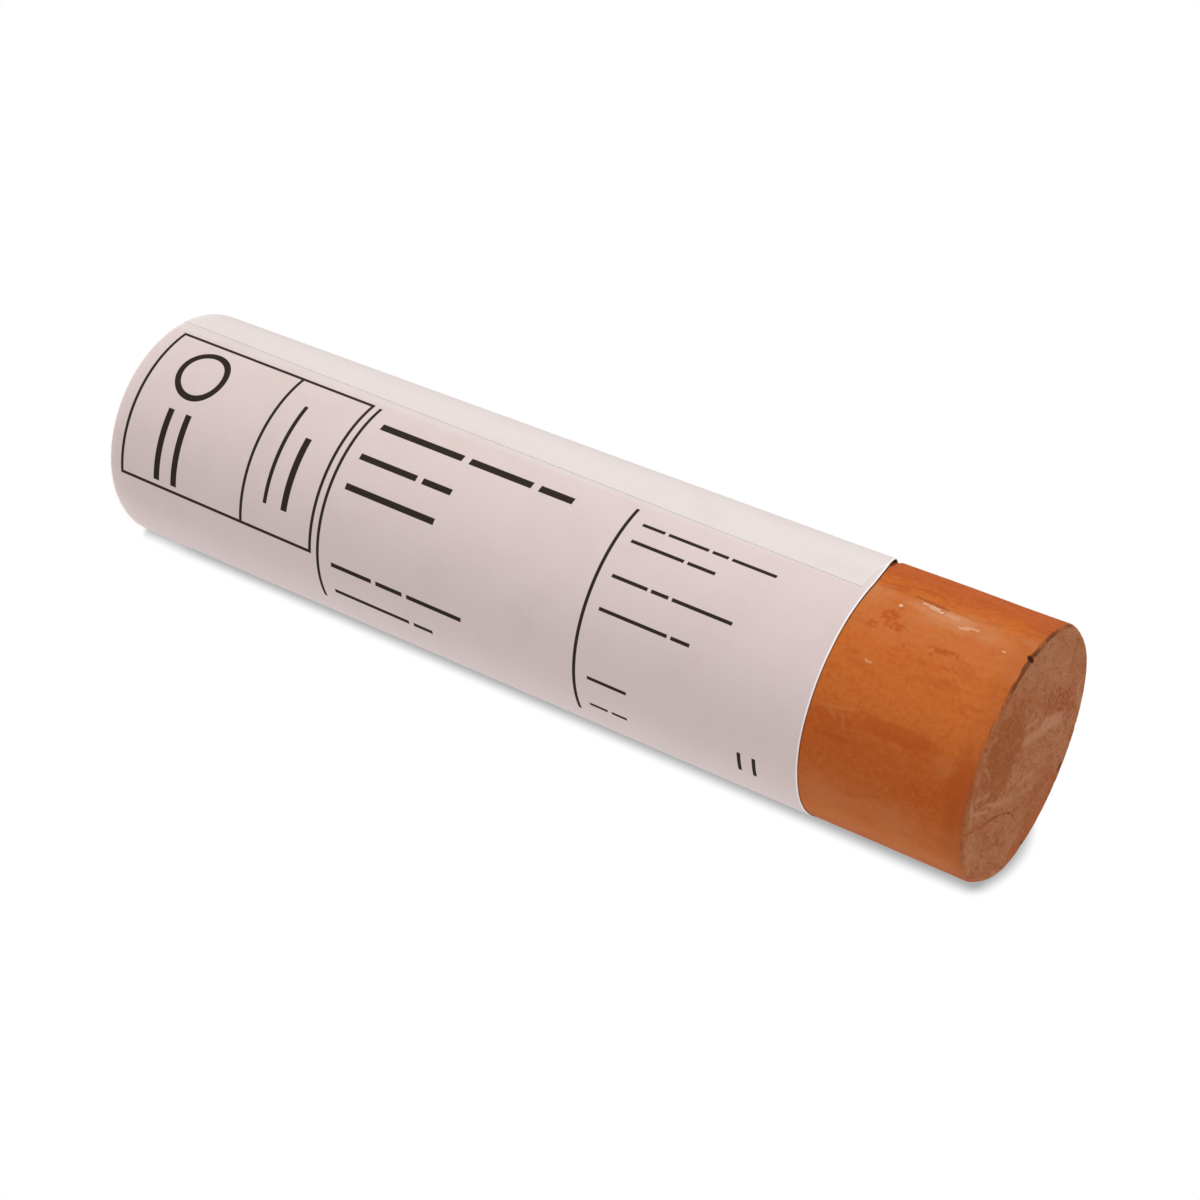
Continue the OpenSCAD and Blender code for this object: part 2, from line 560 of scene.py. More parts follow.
def grouped(tree, group, inputs):
    """Places a group in a tree, wires its inputs, and gives its outputs."""
    return put(tree, "ShaderNodeGroup", inputs, node_tree=group).outputs


def place_group():
    """Millimetres round the stick from the front, up it, and out from its middle."""
    tree, given, out = new_group(
        "place_on_stick",
        {"Vector": ["Object"]},
        {"Vector": ["Place", "Unrolled"], "Float": ["Arc", "Height"]},
    )
    place = scaled(tree, given["Object"], 1 / MM)
    parts = put(tree, "ShaderNodeSeparateXYZ", {0: place}).outputs
    left = times(tree, parts["X"], -1.0)
    ahead = times(tree, parts["Y"], -1.0)
    arc = times(tree, sums(tree, "ARCTAN2", left, ahead), STICK_R)
    unrolled = put(tree, "ShaderNodeCombineXYZ", {"X": arc, "Y": parts["Z"]}).outputs[0]
    tree.links.new(place, out["Place"])
    tree.links.new(unrolled, out["Unrolled"])
    tree.links.new(arc, out["Arc"])
    tree.links.new(parts["Z"], out["Height"])
    return tree


def patch_group():
    """A soft-edged oval patch, which noise makes ragged."""
    where = ["Across", "Up", "Middle Across", "Middle Up"]
    shape = ["Half Width", "Half Height", "Ragged", "Noise"]
    tree, given, out = new_group("soft_patch", {"Float": where + shape}, {"Float": ["Mask"]})

    def squared_share(at, middle, half):
        away = sums(tree, "SUBTRACT", given[at], given[middle])
        share = sums(tree, "DIVIDE", away, given[half])
        return times(tree, share, share)

    aside = squared_share("Across", "Middle Across", "Half Width")
    above = squared_share("Up", "Middle Up", "Half Height")
    reach = sums(tree, "SQRT", sums(tree, "ADD", aside, above))
    shift = times(tree, sums(tree, "SUBTRACT", given["Noise"], 0.5), given["Ragged"])
    tree.links.new(soft_step(tree, sums(tree, "ADD", reach, shift), 1.0, 0.45), out["Mask"])
    return tree


def line_group():
    """Distance in millimetres from a straight line between two points."""
    tree, given, out = new_group(
        "distance_to_line",
        {"Vector": ["Place", "From", "To"]},
        {"Float": ["Distance"]},
    )
    run = vectors(tree, "SUBTRACT", given["To"], given["From"])
    reach = vectors(tree, "SUBTRACT", given["Place"], given["From"])
    along = vectors(tree, "DOT_PRODUCT", reach, run, result=1)
    whole = vectors(tree, "DOT_PRODUCT", run, run, result=1)
    held = put(tree, "ShaderNodeClamp", {0: sums(tree, "DIVIDE", along, whole)}).outputs[0]
    nearest = scaled(tree, run, held)
    tree.links.new(vectors(tree, "DISTANCE", reach, nearest, result=1), out["Distance"])
    return tree


def bar_group():
    """A printed bar or rule with crisp ends. Ink is one inside it."""
    sockets = ["Across", "Along", "Middle Across", "Middle Along", "Width", "Length"]
    tree, given, out = new_group("printed_bar", {"Float": sockets}, {"Float": ["Ink"]})

    def outside(at, middle, size):
        away = sums(tree, "ABSOLUTE", sums(tree, "SUBTRACT", given[at], given[middle]))
        return sums(tree, "SUBTRACT", away, times(tree, given[size], 0.5))

    aside = outside("Across", "Middle Across", "Width")
    beyond = outside("Along", "Middle Along", "Length")
    tree.links.new(soft_step(tree, sums(tree, "MAXIMUM", aside, beyond), 0.04, -0.04), out["Ink"])
    return tree


def new_material(name):
    """A material with its Principled shader, and the tree that holds it."""
    material = bpy.data.materials.new(name)
    material.use_nodes = True
    tree = material.node_tree
    return material, tree, tree.nodes["Principled BSDF"]


def feed(tree, shader, **sockets):
    """Wires colours, masks and normals into the shader. An underscore stands for a space."""
    for name, value in sockets.items():
        tree.links.new(value, shader.inputs[name.replace("_", " ")])


def bumped(tree, height, distance, strength=1.0, under=None):
    """Normal of a surface that height raises by up to distance, in millimetres."""
    places = {"Height": height, "Distance": distance * MM, "Strength": strength}
    if under is not None:
        places["Normal"] = under
    return put(tree, "ShaderNodeBump", places).outputs[0]


# Materials
def patches_on(tree, soft_patch, across, up, ragged):
    """A function that gives the mask of a ragged patch at a place on a surface."""

    def patch(middle_across, middle_up, half_width, half_height, torn):
        places = {
            "Across": across,
            "Up": up,
            "Middle Across": middle_across,
            "Middle Up": middle_up,
            "Half Width": half_width,
            "Half Height": half_height,
            "Ragged": torn,
            "Noise": ragged,
        }
        return grouped(tree, soft_patch, places)["Mask"]

    return patch


def strokes_on(tree, distance_to_line, flat):
    """A function that gives the mask of a soft stroke between two places on a surface."""

    def stroke(start, end, width, soft):
        ends = {"Place": flat, "From": (*start, 0), "To": (*end, 0)}
        away = grouped(tree, distance_to_line, ends)["Distance"]
        return soft_step(tree, away, width / 2 + soft, width / 2)

    return stroke


def wandering(tree, place, size, reach):
    """The place, moved about by up to half of reach, so that marks drawn on it wander."""
    places = {"Vector": place, "Scale": 1 / size, "Detail": 3.0}
    shift = put(tree, "ShaderNodeTexNoise", places).outputs[1]
    centred = vectors(tree, "ADD", shift, (-0.5, -0.5, -0.5))
    return vectors(tree, "ADD", place, scaled(tree, centred, reach))


def marked(tree, mark, *rows):
    """The strongest of several marks. A row is a mark's strength, and then where it lies."""
    return most(tree, *(times(tree, mark(*places), strength) for strength, *places in rows))


def layered(tree, colour, *layers):
    """Lays colours over a colour. A layer is its mask, its strength and its colour."""
    for mask, strength, over in layers:
        colour = blend(tree, times(tree, mask, strength), colour, over)
    return colour


def crease_marks(tree, stroke):
    """Painted shade in the crease's groove and beside the nub, and painted highlights along its
    lower side.
    """
    crease_shade = marked(
        tree,
        stroke,
        (0.3, (13.5, 107.4), (13.9, 109.8), 0.12, 0.3),
        (0.85, (13.75, 111.8), (13.3, 116.0), 0.16, 0.24),
        (0.24, (13.3, 116.3), (13.7, 121.8), 0.12, 0.4),
        (0.25, (12.42, 113.6), (12.3, 115.8), 0.08, 0.2),
        (0.5, (11.05, 111.2), (11.1, 111.5), 0.2, 0.2),
    )
    # Painted highlights along the crease and on small bumps.
    painted_glints = marked(
        tree,
        stroke,
        (1.0, (13.12, 112.9), (12.95, 115.0), 0.07, 0.14),
        (1.0, (12.8, 113.9), (12.62, 115.7), 0.06, 0.12),
        (0.25, (12.6, 116.2), (12.5, 117.6), 0.1, 0.3),
        (0.45, (11.4, 118.3), (11.55, 119.2), 0.12, 0.2),
        (0.45, (11.75, 118.8), (11.95, 120.3), 0.12, 0.2),
        (0.9, (11.4, 110.9), (11.35, 111.0), 0.26, 0.16),
        (0.5, (10.3, 124.1), (10.3, 124.3), 0.12, 0.16),
        (0.3, (3.3, 110.8), (3.2, 111.4), 0.12, 0.2),
    )
    return crease_shade, painted_glints


def scuff_marks(tree, stroke, patch, broken):
    """Dark blots and fine scratches where the skin was scuffed, between crease and front."""
    scuffed = marked(
        tree,
        patch,
        (1.0, 9.3, 110.7, 1.5, 1.3, 1.8),
        (1.0, 8.4, 111.7, 0.8, 2.0, 1.6),
        (0.7, 7.6, 109.4, 0.8, 1.0, 1.8),
        (0.9, 7.5, 118.6, 0.6, 2.8, 1.9),
        (0.5, 5.9, 119.9, 0.6, 1.4, 1.8),
    )
    dots = marked(
        tree,
        patch,
        (0.6, 6.7, 117.2, 0.4, 0.4, 1.0),
        (0.7, 6.5, 113.9, 0.35, 0.35, 1.0),
    )
    scratches = marked(
        tree,
        stroke,
        (1.0, (6.0, 119.6), (5.2, 121.0), 0.05, 0.16),
        (1.0, (5.4, 120.9), (4.0, 122.6), 0.05, 0.18),
        (1.0, (3.9, 122.6), (2.4, 123.3), 0.05, 0.18),
        (1.0, (4.8, 120.4), (3.6, 121.8), 0.05, 0.16),
        (1.0, (3.4, 121.9), (2.2, 122.4), 0.05, 0.16),
    )
    return most(tree, times(tree, scuffed, broken), dots), scratches


def rubbed_marks(tree, arc, stroke, patch, broken):
    """Ruddy smears low on the side with crisp edges, and the paler drag marks between them."""
    long_smear = times(tree, patch(-3.0, 117.2, 1.6, 6.8, 0.9), soft_step(tree, arc, -1.85, -2.3))
    patches = marked(
        tree,
        patch,
        (0.2, -4.6, 109.7, 2.4, 3.0, 0.9),
        (0.42, -6.5, 125.6, 6.5, 1.8, 1.2),
    )
    strokes = marked(
        tree,
        stroke,
        (0.5, (-2.2, 112.6), (-2.6, 122.0), 0.1, 0.2),
        (0.5, (-6.0, 107.9), (-6.1, 111.6), 0.2, 0.55),
        (0.25, (-3.2, 111.8), (-5.6, 111.9), 0.1, 0.5),
    )
    torn_smear = times(tree, patch(-8.6, 122.2, 2.4, 2.8, 1.8), broken, 0.3)
    drags = marked(
        tree,
        stroke,
        (0.45, (-3.0, 107.8), (-2.35, 111.8), 0.05, 0.16),
        (0.4, (-2.9, 108.7), (-3.9, 109.9), 0.1, 0.4),
        (0.35, (-3.3, 110.6), (-4.7, 111.2), 0.1, 0.4),
        (0.2, (-11.8, 118.6), (-9.9, 123.6), 0.05, 0.2),
        (0.2, (-14.0, 112.0), (-12.2, 117.6), 0.05, 0.2),
    )
    torn_drag = times(tree, patch(-4.4, 123.6, 1.6, 2.0, 1.8), broken, 0.4)
    ruddy = most(tree, times(tree, long_smear, 0.5), patches, strokes, torn_smear)
    return ruddy, most(tree, drags, torn_drag)


def side_colour(tree, place, arc, height, patch, stroke, above_paper):
    """Colour of the side: fresh orange, oilier and hazier in places, small marks, painted shade and
    sheen.
    """
    fresh = (0.545, 0.138, 0.026, 1)
    oily_and_shaded = (0.462, 0.098, 0.0195, 1)
    hazy = (0.56, 0.215, 0.085, 1)
    ruddy = (0.37, 0.064, 0.012, 1)
    reddish = (0.40, 0.115, 0.045, 1)
    dull = (0.30, 0.085, 0.03, 1)
    brown = (0.33, 0.098, 0.034, 1)
    blotted = (0.43, 0.070, 0.006, 1)
    smeared = (0.41, 0.068, 0.010, 1)
    dark = (0.17, 0.032, 0.007, 1)
    painted_sheen = (0.78, 0.42, 0.24, 1)
    glint_highlight = (0.84, 0.52, 0.34, 1)
    paper_shade = (0.07, 0.018, 0.006, 1)
    dragged = stretched(tree, place, (1, 1, 0.3))
    cloudy = noise_at(tree, place, 4.5, 3.0, 0.55)
    streaks = noise_at(tree, dragged, 1.3, 5.0, 0.65, 0.5)
    flecks = noise_at(tree, place, 0.6, 4.0, 0.7)
    spread = noise_at(tree, dragged, 2.6, 5.0, 0.62, 0.7)
    broken = soft_step(tree, flecks, 0.36, 0.56)
    haze_clouds = soft_step(tree, cloudy, 0.3, 0.7)
    low_sheen_strength = sums(tree, "ADD", times(tree, haze_clouds, 0.22), 0.2)
    burnt = times(tree, patch(19.0, 116, 6.5, 60, 0.8), soft_step(tree, streaks, 0.46, 0.64))
    shaded_low = times(tree, soft_step(tree, arc, -18.0, -21.5), soft_step(tree, arc, -44.0, -26.0))
    browner = times(
        tree,
        soft_step(tree, sums(tree, "ADD", height, flecks), STICK_LEN - 0.6, STICK_LEN + 0.5),
        soft_step(tree, arc, 6.0, -4.0),
        soft_step(tree, arc, -44.0, -30.0),
    )
    blots, scratches = scuff_marks(tree, stroke, patch, broken)
    smears, drags = rubbed_marks(tree, arc, stroke, patch, broken)
    crease_shade, painted_glints = crease_marks(tree, stroke)
    scraped = most(tree, times(tree, scratches, 0.2), times(tree, drags, 0.65))
    open_gap = patch(22.9, 104, 5.5, 60, 0.0)
    shade_w = sums(tree, "ADD", times(tree, open_gap, 0.56), 0.14)
    shade = soft_step(tree, sums(tree, "DIVIDE", above_paper, shade_w), 1.0, 0.3)
    deeper = most(tree, open_gap, soft_step(tree, arc, 0.0, 12.0))
    depth = sums(tree, "ADD", times(tree, deeper, 0.4), 0.45)
    colour = layered(
        tree,
        fresh,
        # Darker oily tone in two broad bands. The lower band, low on the front, is painted shade
        # where the side turns from the light.
        (most(tree, patch(-10.3, 116, 10.2, 60, 0.5), patch(20.5, 116, 6.5, 60, 0.5)), 0.85, oily_and_shaded),
        (soft_step(tree, streaks, 0.45, 0.7), 0.5, oily_and_shaded),
        (soft_step(tree, flecks, 0.5, 0.7), 0.34, ruddy),
        (soft_step(tree, flecks, 0.5, 0.3), 0.24, hazy),
        (burnt, 0.3, ruddy),
        # Pale hazy band along the top where the light falls: partly a dull bloom on the skin, partly
        # painted sheen.
        (times(tree, patch(12.2, 116, 2.4, 24, 0.7), haze_clouds), 0.72, hazy),
        (patch(9.4, 117, 4.4, 24, 0.9), 0.22, hazy),
        # Paler haze low on the side towards the floor: painted sheen of the floor's light.
        (patch(-18.5, 112, 10.0, 24, 0.6), low_sheen_strength, hazy),
        (shaded_low, 0.5, reddish),
        (soft_step(tree, height, STICK_LEN - 3.6, STICK_LEN - 1.2), 0.22, dull),
        (browner, 0.7, brown),
        (blots, 0.7, blotted),
        (soft_step(tree, spread, 0.58, 0.7), 0.3, ruddy),
        (smears, 1.0, smeared),
        (scraped, 1.0, hazy),
        # Painted sheen round the crease, painted shade in its groove and painted highlights on it.
        (patch(12.3, 115.4, 1.2, 5.4, 1.2), 0.15, painted_sheen),
        (crease_shade, 0.5, dark),
        (painted_glints, 0.9, glint_highlight),
        (shade, depth, paper_shade),
    )
    return colour, crease_shade, painted_glints


def end_colour(tree, flat, front, up, radius, patch, stroke, cracks):
    """Colour of the dull skin on the ends: brushed tan, hazy over the top, ruddy where rubbed, with
    painted shade and highlights.
    """
    tan = (0.425, 0.152, 0.062, 1)
    dusty = (0.475, 0.205, 0.108, 1)
    brown = (0.345, 0.100, 0.031, 1)
    ruddy = (0.31, 0.070, 0.019, 1)
    dim = (0.265, 0.074, 0.023, 1)
    dark = (0.11, 0.030, 0.011, 1)
    ridge_highlight_tan = (0.54, 0.250, 0.140, 1)
    handled_orange = (0.41, 0.108, 0.034, 1)
    worn_orange = (0.37, 0.100, 0.030, 1)
    rim_shade_dark = (0.11, 0.030, 0.010, 1)
    brushed = stretched(tree, flat, (0.4, 1, 1), 25)
    clouds = noise_at(tree, flat, 5.5, 4.0, 0.55, 0.6)
    skins = noise_at(tree, brushed, 1.5, 6.0, 0.65, 0.9)
    flecks = noise_at(tree, flat, 0.55, 4.0, 0.7)
    hairs = noise_at(tree, brushed, 0.55, 4.0, 0.7, 1.2)
    broken = soft_step(tree, flecks, 0.38, 0.6)
    pale = marked(
        tree,
        stroke,
        (1.0, (-7.2, 5.6), (-2.0, 4.2), 0.8, 0.8),
        (0.9, (-3.4, 3.6), (2.6, 1.4), 0.5, 0.9),
        (0.6, (1.5, 4.2), (4.4, 2.8), 0.2, 0.5),
        (0.5, (-13.0, 8.2), (-9.6, 9.6), 0.3, 0.7),
        (0.6, (-5.2, -1.4), (-1.2, -3.4), 0.15, 0.45),
        (0.6, (-1.6, -4.9), (3.4, -6.2), 0.15, 0.4),
        (0.5, (9.8, -4.0), (13.4, -3.0), 0.2, 0.4),
        (0.6, (10.4, -9.4), (13.0, -7.2), 0.2, 0.4),
        (0.8, (3.6, -6.2), (8.4, -6.9), 0.15, 0.35),
        (0.8, (6.4, -7.4), (11.6, -8.2), 0.15, 0.35),
        (0.6, (8.6, -5.6), (12.0, -6.6), 0.15, 0.3),
        (0.4, (-9.0, -1.8), (-2.5, -4.6), 0.3, 0.7),
    )
    handled = times(
        tree,
        soft_step(tree, radius, STICK_R - 4.0, STICK_R - 0.4),
        soft_step(tree, front, -5.0, -11.0),
        soft_step(tree, up, 3.0, -4.0),
    )
    edge = soft_step(tree, radius, STICK_R - 0.5, STICK_R - 0.1)
    crisp = times(tree, soft_step(tree, up, 0.5, 6.0), soft_step(tree, front, -2.0, 4.0))
    colour = layered(
        tree,
        tan,
        (soft_step(tree, clouds, 0.36, 0.64), 0.7, dusty),
        (soft_step(tree, skins, 0.5, 0.64), 0.6, brown),
        (soft_step(tree, skins, 0.47, 0.33), 0.65, dusty),
        (patch(3.5, 9.6, 10.0, 4.6, 0.8), 0.45, dusty),
        (patch(9.2, -1.0, 8.0, 8.6, 1.7), 0.85, brown),
        (soft_step(tree, flecks, 0.52, 0.68), 0.42, dim),
        (soft_step(tree, flecks, 0.46, 0.32), 0.42, dusty),
        (soft_step(tree, hairs, 0.53, 0.63), 0.4, dim),
        (soft_step(tree, hairs, 0.46, 0.36), 0.35, dusty),
        (times(tree, patch(-3.8, 7.2, 9.0, 2.6, 1.6), broken), 0.75, ruddy),
        (times(tree, patch(-10.5, -4.0, 4.0, 7.5, 1.4), broken), 0.4, ruddy),
        # Pale streaks on the ridges: partly paler skin, partly painted highlight.
        (pale, sums(tree, "ADD", times(tree, broken, 0.6), 0.4), ridge_highlight_tan),
        (handled, 0.7, handled_orange),
        (edge, 0.5, worn_orange),
        # A broken line of painted shade along the crisp front rim.
        (times(tree, edge, soft_step(tree, clouds, 0.36, 0.6), crisp), 0.8, rim_shade_dark),
        (patch(-14.9, 0.2, 0.7, 0.9, 0.6), 0.7, dark),
        (patch(-11.7, -9.9, 0.8, 0.6, 0.6), 0.7, dark),
        # Painted shade in the cracks.
        (cracks, 0.75, dark),
    )
    return colour, pale


def oil_paint(place_on_stick, soft_patch, distance_to_line):
    """Waxy skin of half-dried oil paint: satin on the side, dull and browner on the ends."""
    material, tree, shader = new_material("oil_paint_skin")
    at = grouped(tree, place_on_stick, {"Object": object_place(tree)})
    place, arc, height = at["Place"], at["Arc"], at["Height"]
    above_paper = put(tree, "ShaderNodeAttribute", attribute_name="above_paper").outputs["Fac"]
    parts = put(tree, "ShaderNodeSeparateXYZ", {0: place}).outputs
    front = times(tree, parts["Y"], -1.0)
    up = times(tree, parts["X"], -1.0)
    level = put(tree, "ShaderNodeCombineXYZ", {"X": front, "Y": up}).outputs[0]
    radius = vectors(tree, "LENGTH", level, result=1)
    ragged = noise_at(tree, place, 1.7, 5.0, 0.65)
    fine = noise_at(tree, place, 0.45, 3.0, 0.6)

    # Colour of the side, then of the ends, then the painted shade in the pit
    patch = patches_on(tree, soft_patch, arc, height, ragged)
    stroke = strokes_on(tree, distance_to_line, wandering(tree, at["Unrolled"], 0.8, 0.5))
    colour, crease_shade, painted_glints = side_colour(tree, place, arc, height, patch, stroke, above_paper)
    end_patch = patches_on(tree, soft_patch, front, up, ragged)
    end_stroke = strokes_on(tree, distance_to_line, wandering(tree, level, 1.6, 0.8))
    thin = [end_stroke(here, there, 0.07, 0.12) for here, there in zip(CRACK, CRACK[1:])]
    end_edge = sums(tree, "ADD", height, times(tree, ragged, 0.8))
    end = soft_step(tree, end_edge, STICK_LEN - 0.02, STICK_LEN + 0.18)
    cracks = times(tree, most(tree, *thin[:-1], times(tree, thin[-1], 0.4)), end)
    foot = soft_step(tree, height, 0.4, 0.05)
    ends = most(tree, end, foot)
    skin, ridges = end_colour(tree, level, front, up, radius, end_patch, end_stroke, cracks)
    colour = blend(tree, ends, colour, skin)
    # The pit is painted near-black: painted shade in its hollow.
    deep = PIT_INSET + PIT_R * math.sin(math.radians(45))
    pit = around(PIT_ANGLE, STICK_R - deep, STICK_LEN - deep)
    pit_line = {"Place": place, "From": pit, "To": pit + Vector((0, 0, 0.1))}
    hollow = soft_step(tree, grouped(tree, distance_to_line, pit_line)["Distance"], 0.58, 0.34)
    pit_shade_black = (0.035, 0.011, 0.005, 1)
    colour = blend(tree, times(tree, hollow, 0.93), colour, pit_shade_black)
    feed(tree, shader, Base_Color=colour)

    # Gloss and relief
    satin = ranged(tree, ragged, 0.30, 0.46)
    feed(tree, shader, Roughness=ranged(tree, ends, satin, 0.6))
    drawn = stretched(tree, place, (1, 1, 0.2))
    normal = bumped(tree, noise_at(tree, drawn, 0.5, 5.0, 0.65), 0.025)
    normal = bumped(tree, noise_at(tree, place, 1.1, 5.0, 0.65, 0.6), 0.05, 1.0, normal)
    torn = noise_at(tree, place, 2.4, 5.0, 0.6, 1.0)
    furrows = times(tree, soft_step(tree, torn, 0.35, 0.65), ends)
    normal = bumped(tree, furrows, 0.16, 1.0, normal)
    grooves = most(tree, times(tree, crease_shade, 0.7), cracks)
    raised = most(tree, painted_glints, times(tree, ridges, ends, 0.5))
    marks = sums(tree, "SUBTRACT", raised, grooves)
    feed(tree, shader, Normal=bumped(tree, marks, 0.08, 1.0, normal))
    shader.inputs["Specular IOR Level"].default_value = 0.0
    waxed = ranged(tree, ends, 1.0, 0.4)
    sheen = ranged(tree, fine, 0.02, 0.09)
    glossy = most(tree, times(tree, patch(12.6, 115, 0.9, 8, 0.6), 0.4), times(tree, painted_glints, 0.7))
    feed(tree, shader, Coat_Weight=times(tree, waxed, sums(tree, "ADD", sheen, glossy)))
    shader.inputs["Coat Roughness"].default_value = 0.24
    shader.inputs["Coat IOR"].default_value = 1.45
    return material


def label_ink(tree, printed_bar, across, along):
    """Everything printed on the label: thin rules, a ruled panel, a plain ring and plain bars."""
    rule = 0.46
    text_start, notes_start = 38.4, 77.8
    marks = []

    def ring(middle_across, middle_along, radius, width):
        aside = sums(tree, "POWER", sums(tree, "SUBTRACT", across, middle_across), 2.0)
        beyond = sums(tree, "POWER", sums(tree, "SUBTRACT", along, middle_along), 2.0)
        reach = sums(tree, "SQRT", sums(tree, "ADD", aside, beyond))
        off = sums(tree, "ABSOLUTE", sums(tree, "SUBTRACT", reach, radius))
        return soft_step(tree, off, width / 2 + 0.04, width / 2 - 0.04)

    def bar(middle_across, middle_along, width, length):
        places = {
            "Across": across,
            "Along": along,
            "Middle Across": middle_across,
            "Middle Along": middle_along,
            "Width": width,
            "Length": length,
        }
        marks.append(grouped(tree, printed_bar, places)["Ink"])

    def row(at, start, height, *words):
        """A row of plain bars, each a length and then a gap."""
        for word in words:
            bar(at, start + word / 2, height, word)
            start += word + height * 1.1

    # Ruled panel and two long rules
    panel_top, panel_foot = 11.6, -10.4
    panel_start, panel_divide, panel_end = 2.2, 23.2, 34.9
    tall = panel_top - panel_foot
    middle = (panel_top + panel_foot) / 2
    for along_at in (panel_start, panel_divide, panel_end):
        bar(middle, along_at, tall + rule, rule)
    for across_at in (panel_top, panel_foot):
        bar(across_at, (panel_start + panel_end) / 2, rule, panel_end - panel_start + rule)
    bar(-3.0, 36.2, 29.2, rule)
    bar(-3.4, 75.9, 29.6, rule)
    # Ring and bars in the panel, and rows of bars beside it
    bar(-4.5, 8.4, 10.0, 1.0)
    bar(-4.5, 11.4, 10.0, 1.0)
    marks.append(ring(6.2, 9.9, 3.5, 0.9))
    bar(0.6, 27.0, 14.0, 0.6)
    bar(-1.4, 30.2, 10.0, 1.0)
    row(8.9, text_start, 1.0, 13.0, 9.5, 5.0)
    row(4.0, text_start, 0.85, 9.0, 4.5)
    row(-0.2, text_start, 0.85, 14.0)
    row(-11.0, text_start, 0.65, 6.5, 4.2, 8.5)
    row(-15.4, text_start, 0.65, 12.0, 3.0)
    row(9.4, notes_start, 0.45, 3.2, 5.6, 2.2, 6.0)
    row(6.8, notes_start, 0.45, 7.4, 3.8)
    row(2.0, notes_start, 0.45, 5.0, 2.4, 8.2)
    row(-2.2, notes_start, 0.45, 9.5, 2.6)
    row(-11.4, notes_start, 0.5, 5.6)
    row(-16.0, notes_start, 0.5, 2.6, 2.2)
    bar(-14.6, 100.9, 3.2, 0.5)
    bar(-14.6, 98.9, 3.2, 0.5)
    return most(tree, *marks)


def label_paper(place_on_stick, printed_bar):
    """Pale uncoated paper. The paint shows through one thickness of it a little."""
    material, tree, shader = new_material("label_paper")
    at = grouped(tree, place_on_stick, {"Object": object_place(tree)})
    flat = put(tree, "ShaderNodeUVMap", uv_map="label_mm").outputs[0]
    parts = put(tree, "ShaderNodeSeparateXYZ", {0: flat}).outputs
    across, along = parts["X"], parts["Y"]
    fibres = noise_at(tree, at["Place"], 0.35, 4.0, 0.6)
    cloudy = noise_at(tree, at["Place"], 6.0, 4.0, 0.55)
    below_edge = put(tree, "ShaderNodeAttribute", attribute_name="below_edge").outputs["Fac"]
    single = (0.715, 0.592, 0.578, 1)
    double = (0.73, 0.675, 0.65, 1)
    shaded = (0.66, 0.602, 0.575, 1)
    warm = (0.655, 0.525, 0.50, 1)
    pale = (0.77, 0.68, 0.665, 1)
    black = (0.022, 0.015, 0.012, 1)
    bare_fibre = (0.93, 0.90, 0.885, 1)
    lap_start = (HIDDEN_EDGE - 360) * PAPER_ARC
    flap_end = (FLAP_EDGE - 360) * PAPER_ARC
    under_flap = FLAP_EDGE * PAPER_ARC
    flap = soft_step(tree, across, lap_start + 0.4, lap_start - 0.2)
    under = times(tree, soft_step(tree, across, under_flap - 1.4, under_flap - 0.6), 0.6)
    turned_away = times(tree, flap, soft_step(tree, across, flap_end + 3.2, flap_end + 9.0))
    margin = sums(tree, "ADD", below_edge, times(tree, fibres, 0.14))
    corner_part = times(tree, flap, soft_step(tree, across, flap_end + 5.5, flap_end + 3.5))
    whiteness = sums(tree, "SUBTRACT", 0.9, times(tree, corner_part, 0.8))
    colour = layered(
        tree,
        single,
        (most(tree, flap, under), 1.0, double),
        (turned_away, 0.85, shaded),
        (soft_step(tree, cloudy, 0.4, 0.8), 0.35, warm),
        (soft_step(tree, fibres, 0.45, 0.8), 0.25, pale),
        # Paler low on the side: painted bounce light from the floor.
        (soft_step(tree, across, -12.5, -18.0), 0.35, pale),
        (label_ink(tree, printed_bar, across, along), ranged(tree, fibres, 0.97, 1.0), black),
        (soft_step(tree, margin, 0.36, 0.24), whiteness, bare_fibre),
    )
    feed(tree, shader, Base_Color=colour)
    feed(tree, shader, Roughness=ranged(tree, fibres, 0.6, 0.8))
    feed(tree, shader, Normal=bumped(tree, fibres, 0.02, 0.6))
    shader.inputs["Specular IOR Level"].default_value = 0.02
    return material


def cut_paper():
    """The bare white fibre of the paper's cut edge."""
    material, tree, shader = new_material("cut_paper_edge")
    fibres = noise_at(tree, scaled(tree, object_place(tree), 1 / MM), 0.4, 3.0, 0.5)
    greyish = (0.74, 0.70, 0.68, 1)
    whitish = (0.88, 0.86, 0.84, 1)
    feed(tree, shader, Base_Color=blend(tree, fibres, greyish, whitish))
    feed(tree, shader, Normal=bumped(tree, fibres, 0.02, 0.6))
    shader.inputs["Roughness"].default_value = 0.8
    shader.inputs["Specular IOR Level"].default_value = 0.2
    return material


# Stage and light. Angles are from the front, and the lamps' distance and sizes are in metres.
WALL_ANGLE = CONTACT_ANGLE + 180
KEY_ANGLE = 60
CORNER_ANGLE = -86.3
KEY_HEIGHT = 10
LAMP_DISTANCE = 0.6
AMBIENT = 0.745
KEY_SIZE, KEY_LEVEL = 0.3, 0.38
BOUNCE_SIZE, BOUNCE_LEVEL = 0.5, 0.32
CARD_GLOW = 0.3
STAGE_HALF = 3000
WALL_GAP = 0.02


def white_level(tree):
    """One where the camera, a gloss or a clear surface sees it, and the room's light elsewhere."""
    path = put(tree, "ShaderNodeLightPath").outputs
    seen = most(tree, path["Is Camera Ray"], path["Is Glossy Ray"], path["Is Transmission Ray"])
    return ranged(tree, seen, AMBIENT, 1.0)


def stage_tree(name):
    """A stage material's tree, places in millimetres, and the glow of plain white."""
    material, tree, _ = new_material(name)
    tree.nodes.clear()
    return material, tree, scaled(tree, object_place(tree), 1 / MM), white_level(tree)


